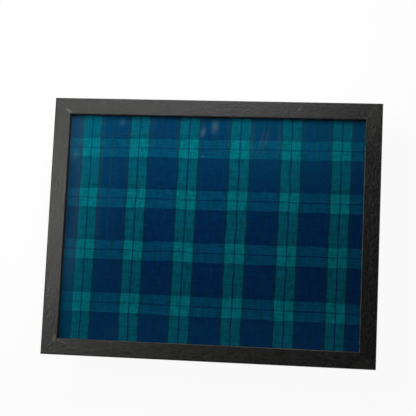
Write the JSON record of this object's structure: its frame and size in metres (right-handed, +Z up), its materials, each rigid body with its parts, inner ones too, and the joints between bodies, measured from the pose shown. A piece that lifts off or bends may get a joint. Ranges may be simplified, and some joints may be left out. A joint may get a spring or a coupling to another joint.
{
  "type": "lap tray with cushion",
  "caption": "Rectangular lap tray with a mitred black wooden rim round a tartan panel under a clear sheet, on a removable bead-filled cushion.",
  "frame": {"origin": "middle of the cushion's underside, on the surface the tray rests on", "axes": "+X to the right of the person using the tray along its long side, +Y away from them, +Z up"},
  "size_m": [0.42, 0.33, 0.0736],
  "materials": {
    "black_wood": "satin",
    "steel": "satin",
    "clear_acrylic": "gloss",
    "tartan": "matte",
    "fibreboard": "matte",
    "hook_tape": "matte",
    "loop_tape": "matte",
    "cushion_cotton": "matte",
    "beads": "matte"
  },
  "bodies": {
    "cushion": {"cushion_under_panel": "cushion_cotton", "cushion_top_panel": "cushion_cotton", "bead_fill": "beads", "loop_strips": "loop_tape"},
    "tray": {"front_rail": "black_wood", "right_rail": "black_wood", "back_rail": "black_wood", "left_rail": "black_wood", "corner_v_nails": "steel", "framers_points": "steel", "clear_sheet": "clear_acrylic", "tartan_cloth": "tartan", "panel_board": "fibreboard", "hook_strips": "hook_tape"}
  },
  "joints": [
    {"name": "tray_lift_off", "type": "slide", "parent": "cushion", "child": "tray", "axis": [0, 0, 1], "range_m": [0, 0.09]}
  ]
}
